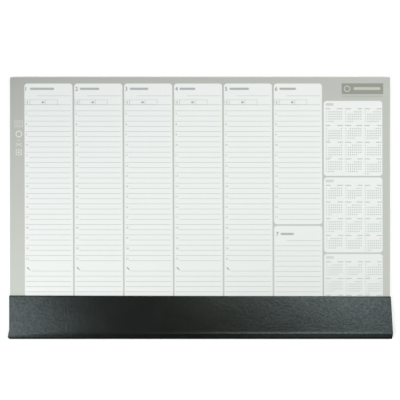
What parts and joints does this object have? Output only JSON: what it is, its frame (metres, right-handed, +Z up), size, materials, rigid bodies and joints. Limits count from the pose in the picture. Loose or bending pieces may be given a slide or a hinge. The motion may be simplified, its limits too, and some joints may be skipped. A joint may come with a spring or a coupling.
{
  "type": "desk planner",
  "caption": "Flat weekly desk planner pad: a block of printed tear-off sheets on a grey board, with a board-stiffened black leatherette strip wrapping its front edge.",
  "frame": {"origin": "middle of the planner's footprint, on the desk surface that it lies on", "axes": "+X to the writer's right along the long side, +Y away from the writer, +Z up out of the sheets; the black strip is at the -Y side"},
  "size_m": [0.6012, 0.41, 0.0095],
  "materials": {
    "paper": "uncoated white offset paper with a pale grey printed tint",
    "grey_board": "unlined recycled grey board, matte and slightly fibrous",
    "dried_glue": "dried padding glue, satin",
    "leatherette": "black leatherette, satin with a fine grain"
  },
  "bodies": {
    "root": {"backing_board": "grey_board", "sheet_block": "paper", "glue_film": "dried_glue", "strip_board": "grey_board", "strip_cover": "leatherette"}
  },
  "joints": []
}
